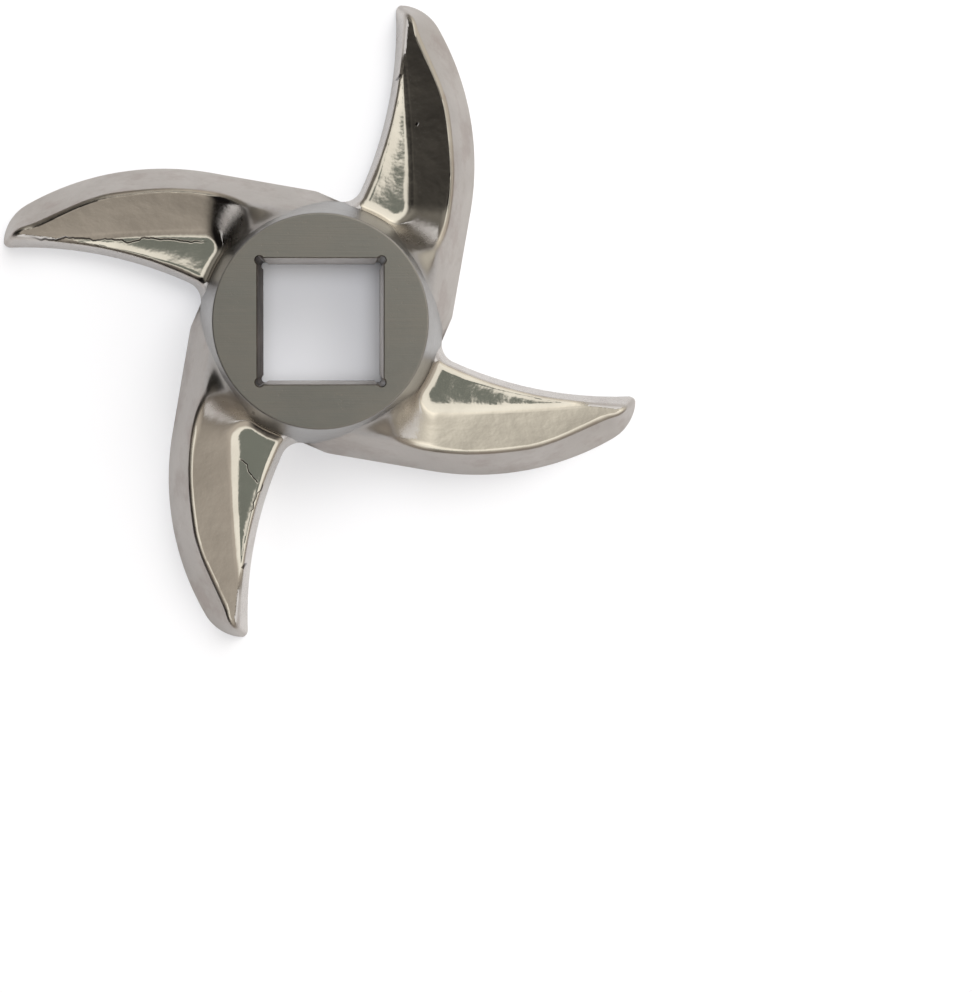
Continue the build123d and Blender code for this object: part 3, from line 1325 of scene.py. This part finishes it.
@dataclass(frozen=True)
class StainlessFinish:
    """Cast stainless steel, buffed bright in the scoops, satin on the backs and ground on the hub.

    Lengths are in millimetres, and a part is the share by which one tone covers another.
    """

    bright: Colour = (0.70, 0.675, 0.645)
    satin: Colour = (0.43, 0.40, 0.372)
    # Painted shade: the satin metal darkens towards this as it rises
    painted_shade: Colour = (0.20, 0.175, 0.155)
    ground: Colour = (0.243, 0.242, 0.240)
    bore: Colour = (0.56, 0.52, 0.48)
    # Painted contact shadow at the foot of the bore's walls
    painted_contact_shadow: Colour = (0.03, 0.025, 0.02)
    # Painted shadow on the bore's -X wall
    painted_wall_shadow: Colour = (0.035, 0.026, 0.024)
    # Painted shade in the bore's four corner reliefs
    painted_corner_shade: Colour = (0.03, 0.027, 0.025)
    stain: Colour = (0.27, 0.205, 0.18)
    dull: Colour = (0.30, 0.27, 0.25)
    scar_tone: Colour = (0.035, 0.03, 0.028)

    bright_roughness: float = 0.085
    satin_roughness: float = 0.36
    ground_roughness: float = 0.36
    bore_roughness: float = 0.40
    roughness_spread: float = 0.10
    ground_spread: float = 0.12
    # Roughness added where the bore's -X wall has its painted shadow
    painted_wall_shadow_roughness: float = 0.3

    # Painted shade: heights over which the satin metal darkens as it rises, and how far
    painted_shade_levels: Plan = (0.5, 8.5)
    painted_shade_part: float = 0.18
    # Painted contact shadow: heights over which the bore's walls darken towards the table, and how far
    painted_contact_shadow_levels: Plan = (1.2, 0.4)
    painted_contact_shadow_part: float = 0.8
    # Painted shadow: x over which the bore's -X wall darkens, and how far
    painted_wall_shadow_places: Plan = (-6.60, -6.74)
    painted_wall_shadow_part: float = 0.88
    # Painted shade: distances from the axes past which the bore's corners darken, and how far
    painted_corner_shade_places: Plan = (6.3, 6.7)
    painted_corner_shade_part: float = 0.8
    stain_part: float = 0.38
    cloud_dulling: float = 0.16
    pit_dulling: float = 0.25
    line_dulling: float = 0.16
    scar_part: float = 0.85

    cloud_height: float = 0.105
    scar_depth: float = 0.02
    satin_fleck: float = 0.006
    bright_fleck: float = 0.0022
    line_depth: float = 0.010
    broad_depth: float = 0.0025
    bore_pitting: float = 0.03
    grain_height: float = 0.0016
    pit_depth: float = 0.006

    # Widths of the noises' lumps, and where a smooth step turns them into spots
    cloud_size: float = 5.0
    cloud_edges: Plan = (0.35, 0.65)
    fleck_size: float = 0.5
    grain_size: float = 0.12
    line_size: float = 0.11
    line_stretch: float = 60.0
    line_edges: Plan = (0.4, 0.62)
    broad_size: float = 0.6
    broad_stretch: float = 24.0
    pit_size: float = 0.55
    pit_edges: Plan = (0.64, 0.74)
    blotch_size: float = 4.0
    blotch_edges: Plan = (0.46, 0.68)

    # A seam in one scoop, a crack in two stretches in the next, nicks along the edges and a speck
    scars: tuple[Scar, ...] = (
        Scar((-33.6, 9.5), (-12.6, 9.3), 0.16, 0.8),
        Scar((-9.5, -15.6), (-7.1, -18.5), 0.10, 1.1),
        Scar((-7.1, -18.3), (-7.9, -21.9), 0.10, 1.1),
        Scar((8.6, 27.7), (9.1, 28.3), 0.22),
        Scar((10.8, 22.3), (11.0, 22.7), 0.18),
        Scar((-9.1, -28.3), (-8.7, -27.7), 0.22),
        Scar((-7.6, -10.3), (-7.3, -9.8), 0.25),
    )

    def textures(self, s: Shader) -> Textures:
        """Makes the signals that the finish is mixed from.

        Args:
            s: Shader of the material.

        Returns:
            The signals. x, y and z are in millimetres.
        """
        where = s.node("ShaderNodeTexCoord", {}, {})[OBJECT_PLACE]
        zones = s.node("ShaderNodeAttribute", {"attribute_name": "zones"}, {})[0]
        polish, ground, bore = s.node("ShaderNodeSeparateColor", {}, {0: zones})[:3]
        x, y, z = (part * (1 / MILLIMETRE) for part in s.split(where))
        scars = s.scar(where, self.scars[0])
        for scar in self.scars[1:]:
            scars = scars + s.scar(where, scar) * (1 - scars)
        return Textures(
            x=x, y=y, z=z, polish=polish, ground=ground, bore=bore, scars=scars,
            cloud=s.noise(where, self.cloud_size, detail=4.0),
            fleck=s.noise(where, self.fleck_size, detail=4.0, roughness=0.65),
            grain=s.noise(where, self.grain_size, detail=2.0),
            lines=s.noise(where, self.line_size, self.line_stretch, roughness=0.6),
            broad=s.noise(where, self.broad_size, self.broad_stretch, roughness=0.6),
            pits=s.between(s.noise(where, self.pit_size, detail=2.0, roughness=0.7), *self.pit_edges),
            blotch=s.between(s.noise(where, self.blotch_size, detail=4.0, roughness=0.6), *self.blotch_edges),
            # Painted shadow: the bore's wall on the -X side is darkened
            painted_wall_shadow=s.between(x, *self.painted_wall_shadow_places) * bore,
        )

    def tone(self, s: Shader, t: Textures) -> Signal:
        """Colour: the four metals, with painted shade and shadow, stains, dull spots and scars over them.

        Args:
            s: Shader of the material.
            t: Its textures.

        Returns:
            The colour.
        """
        low, high = (edge ** 2 for edge in self.painted_corner_shade_places)
        # Painted shade: the satin metal darkens from low to high
        climb = s.between(t.z, *self.painted_shade_levels) * (1 - t.polish) * (1 - t.ground) * (1 - t.bore)
        # Painted shade in the bore's four corner reliefs
        corner = s.between(t.x * t.x, low, high) * s.between(t.y * t.y, low, high) * t.bore
        dull = s.between(t.cloud, *self.cloud_edges, 0.0, self.cloud_dulling)
        dull = dull + t.pits * (1 - t.polish) * self.pit_dulling
        dull = dull + t.ground * s.between(t.lines, *self.line_edges) * self.line_dulling
        colour: Tint = self.satin
        for share, cover in (
            (t.polish, self.bright),
            (t.ground, self.ground),
            (t.bore, self.bore),
            # Painted shade up the satin metal
            (climb * self.painted_shade_part, self.painted_shade),
            # Painted contact shadow at the bore's foot
            (s.between(t.z, *self.painted_contact_shadow_levels) * t.bore * self.painted_contact_shadow_part, self.painted_contact_shadow),
            # Painted shadow on the bore's -X wall
            (t.painted_wall_shadow * self.painted_wall_shadow_part, self.painted_wall_shadow),
            # Painted shade in the bore's corners
            (corner * self.painted_corner_shade_part, self.painted_corner_shade),
            (t.blotch * (1 - t.polish) * (1 - t.ground) * self.stain_part, self.stain),
            (dull, self.dull),
            (t.scars * self.scar_part, self.scar_tone),
        ):
            colour = s.mixed(share, colour, cover)
        return colour

    def roughness(self, s: Shader, t: Textures) -> Signal:
        """Roughness: the four metals', with clouds and flecks, and with scratches where it is ground.

        Args:
            s: Shader of the material.
            t: Its textures.

        Returns:
            The roughness.
        """
        rough = s.blend(t.polish, self.satin_roughness, self.bright_roughness)
        rough = s.blend(t.ground, rough, self.ground_roughness)
        rough = s.blend(t.bore, rough, self.bore_roughness) + t.painted_wall_shadow * self.painted_wall_shadow_roughness
        rough = rough + (t.cloud - 0.5) * self.roughness_spread + (t.fleck - 0.5) * self.roughness_spread
        return rough + (t.broad - 0.5) * t.ground * self.ground_spread

    def relief(self, s: Shader, t: Textures) -> Signal:
        """Height in millimetres: buffing waves, casting grain and pits, grinding lines and scars.

        Args:
            s: Shader of the material.
            t: Its textures.

        Returns:
            The height.
        """
        height = t.cloud * (1 - t.ground) * self.cloud_height - t.scars * self.scar_depth
        height = height + t.fleck * s.blend(t.polish, self.satin_fleck, self.bright_fleck)
        height = height + t.ground * (t.lines * self.line_depth + t.broad * self.broad_depth)
        height = height + t.bore * t.fleck * self.bore_pitting
        return height + (1 - t.polish) * (t.grain * self.grain_height - t.pits * self.pit_depth)

    def material(self, name: str) -> bpy.types.Material:
        """Builds the finish as a material.

        Args:
            name: Name of the material.

        Returns:
            The material.
        """
        made = bpy.data.materials.new(name)
        made.use_nodes = True
        s = Shader(made.node_tree)
        t = self.textures(s)
        bump = {"Height": self.relief(s, t), "Distance": MILLIMETRE, "Strength": 1.0}
        metal = s.node("ShaderNodeBsdfPrincipled", {}, {
            "Base Color": self.tone(s, t), "Metallic": 1.0, "Roughness": self.roughness(s, t),
            "Normal": s.node("ShaderNodeBump", {}, bump)[0]})[0]
        s.node("ShaderNodeOutputMaterial", {}, {0: metal})
        return made


@dataclass(frozen=True)
class PaperFinish:
    """Plain white tabletop, very slightly uneven in tone."""

    colour: Colour = (0.79, 0.805, 0.855)
    black: Colour = (0.0, 0.0, 0.0)
    least_tone: float = 0.98
    tone_edges: Plan = (0.3, 0.7)
    lump: float = 60.0
    roughness: float = 0.6
    sheen: float = 0.1

    def material(self, name: str) -> bpy.types.Material:
        """Builds the finish as a material.

        Args:
            name: Name of the material.

        Returns:
            The material.
        """
        made = bpy.data.materials.new(name)
        made.use_nodes = True
        s = Shader(made.node_tree)
        where = s.node("ShaderNodeTexCoord", {}, {})[OBJECT_PLACE]
        tone = s.between(s.noise(where, self.lump), *self.tone_edges, self.least_tone, 1.0)
        paper = s.node("ShaderNodeBsdfPrincipled", {}, {
            "Base Color": s.mixed(tone, self.black, self.colour), "Roughness": self.roughness,
            "Specular IOR Level": self.sheen})[0]
        s.node("ShaderNodeOutputMaterial", {}, {0: paper})
        return made


@dataclass(frozen=True)
class Room:
    """Light from the room by direction: dark to the left, bright beyond and to the right.

    Overhead it is grey in a patch round the camera and bright in a ring round that. Pairs are the
    start and the end of a change, as parts of a unit vector.
    """

    near_left: Colour = (0.008, 0.007, 0.007)
    near_right: Colour = (0.60, 0.54, 0.46)
    far_left: Colour = (0.30, 0.28, 0.24)
    far_right: Colour = (1.5, 1.42, 1.22)
    ceiling_ring: Colour = (1.22, 1.18, 1.04)
    ceiling_patch: Colour = (0.23, 0.245, 0.21)
    below: Colour = (0.02, 0.017, 0.014)
    backdrop: Colour = (0.93, 0.925, 0.94)
    wobble_scale: float = 3.0
    wobble_span: float = 0.35
    side_wobble: float = 0.5
    side_slant: float = 0.15
    side_edges: Plan = (-0.45, 0.20)
    far_edges: Plan = (-0.1, 0.55)
    ring_slant: Plan = (0.25, 0.2)
    ring_edges: Plan = (0.72, 0.90)
    ring_part: float = 0.85
    fall_edges: Plan = (-0.1, 0.5)
    least_light: float = 0.45
    patch_place: Plan = (-0.04, -0.05)
    patch_edges: Plan = (0.225, 0.165)
    patch_levels: Plan = (0.0, 0.2)
    ripple_scale: float = 16.0
    ripple_span: float = 0.10

    def light(self, s: Shader) -> Signal:
        """Colour of the light that comes from each direction.

        Args:
            s: Shader of the world.

        Returns:
            The colour.
        """
        way = s.node("ShaderNodeTexCoord", {}, {})[DIRECTION]
        x, y, z = s.split(way)
        wobble = s.swirl(way, self.wobble_scale, self.wobble_span)
        side = s.between(x + wobble * self.side_wobble - y * self.side_slant, *self.side_edges)
        far = s.between(y + wobble, *self.far_edges)
        near = s.mixed(side, self.near_left, self.near_right)
        beyond = s.mixed(side, self.far_left, self.far_right)
        around = s.mixed(far, near, beyond)
        ring = s.between(z + x * self.ring_slant[0] + y * self.ring_slant[1], *self.ring_edges)
        around = s.mixed(ring * self.ring_part, around, self.ceiling_ring)
        around = s.mixed(s.between(z, *self.fall_edges, self.least_light, 1.0), self.below, around)
        px, py = x - self.patch_place[0], y - self.patch_place[1]
        away = (px * px + py * py) ** 0.5 + s.swirl(way, self.ripple_scale, self.ripple_span)
        overhead = s.between(away, *self.patch_edges) * s.between(z, *self.patch_levels)
        return s.mixed(overhead, around, self.ceiling_patch)

    def build(self) -> None:
        """Makes the world, which a camera that looks past the table sees as a plain backdrop."""
        world = bpy.data.worlds.new("room")
        world.use_nodes = True
        bpy.context.scene.world = world
        s = Shader(world.node_tree)
        seen = s.node("ShaderNodeLightPath", {}, {})[0]
        colour = s.mixed(seen, self.light(s), self.backdrop)
        light = s.node("ShaderNodeBackground", {}, {"Color": colour, "Strength": 1.0})[0]
        s.node("ShaderNodeOutputWorld", {}, {0: light})


@dataclass(frozen=True)
class Lamp:
    """Square soft light aimed at the knife, which the polish doesn't mirror.

    The place and the size are in metres and the power is in watts.
    """

    name: str
    place: tuple[float, float, float]
    size: float
    power: float
    colour: Colour

    def build(self) -> None:
        """Makes the light and links it to the scene."""
        data = bpy.data.lights.new(self.name, "AREA")
        data.shape, data.size, data.energy, data.color = "SQUARE", self.size, self.power, self.colour
        light = bpy.data.objects.new(self.name, data)
        light.location = self.place
        light.rotation_mode = "QUATERNION"
        light.rotation_quaternion = Vector(self.place).to_track_quat("Z", "Y")
        light.visible_glossy = False
        bpy.context.scene.collection.objects.link(light)


@dataclass(frozen=True)
class Studio:
    """The table, the room's soft light and the camera over the knife, placed in millimetres."""

    camera_place: tuple[float, float, float] = (1.35, -1.47, 171.99)
    camera_lean: float = 1.94
    camera_lean_bearing: float = 222.5
    camera_lens: float = 53.59
    camera_sensor: float = 36.0
    camera_shift: Plan = (0.120, -0.125)
    camera_clip: Plan = (10.0, 10000.0)
    floor_size: float = 3000.0
    floor_drop: float = 0.02
    room: Room = Room()
    lamps: tuple[Lamp, ...] = (
        Lamp("key", (0.35, 0.55, 0.75), 0.5, 3.3, (1.0, 0.98, 0.96)),
        Lamp("overhead_light", (0.02, 0.03, 0.9), 0.25, 3.9, (0.98, 0.98, 1.0)),
    )

    def floor(self) -> None:
        """Makes the flat square table under the knife."""
        half = self.floor_size / 2 * MILLIMETRE
        mesh = bpy.data.meshes.new("tabletop")
        corners = [(-half, -half, 0), (half, -half, 0), (half, half, 0), (-half, half, 0)]
        mesh.from_pydata(corners, [], [(0, 1, 2, 3)])
        mesh.materials.append(PaperFinish().material("white_table"))
        table = bpy.data.objects.new("tabletop", mesh)
        table.location.z = -self.floor_drop * MILLIMETRE
        bpy.context.scene.collection.objects.link(table)

    def camera(self) -> None:
        """Sets the camera above the knife, leant and shifted so that the knife stands up and left."""
        data = bpy.data.cameras.new("overhead")
        data.sensor_width, data.lens = self.camera_sensor, self.camera_lens
        data.shift_x, data.shift_y = self.camera_shift
        data.clip_start, data.clip_end = (end * MILLIMETRE for end in self.camera_clip)
        eye = bpy.data.objects.new("overhead", data)
        eye.location = Vector(self.camera_place) * MILLIMETRE
        axis = Vector((*toward(self.camera_lean_bearing), 0))
        eye.rotation_mode = "QUATERNION"
        eye.rotation_quaternion = Quaternion(axis, math.radians(self.camera_lean))
        bpy.context.scene.collection.objects.link(eye)
        bpy.context.scene.camera = eye

    def build(self) -> None:
        """Sets the camera, the table and the light."""
        self.camera()
        self.floor()
        self.room.build()
        for lamp in self.lamps:
            lamp.build()
        bpy.context.scene.view_settings.view_transform = "Standard"


@dataclass
class Knife:
    """The dressed knife, which stands for its one CAD solid."""

    form: Casting
    finish: StainlessFinish = StainlessFinish()

    def build(self) -> bpy.types.Object:
        """Makes the casting, gives it its finish and seats it in the frame.

        Returns:
            The piece.
        """
        piece = KnifeMesh(self.form).build("knife_casting")
        piece.data.materials.append(self.finish.material("polished_stainless"))
        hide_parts("knife")
        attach(piece, "root")
        return piece


def main() -> None:
    """Builds the studio and the knife in order."""
    Studio().build()
    log.info("studio is set")
    piece = Knife(Casting()).build()
    log.info("%s is dressed", piece.name)


if __name__ == "__main__":
    main()
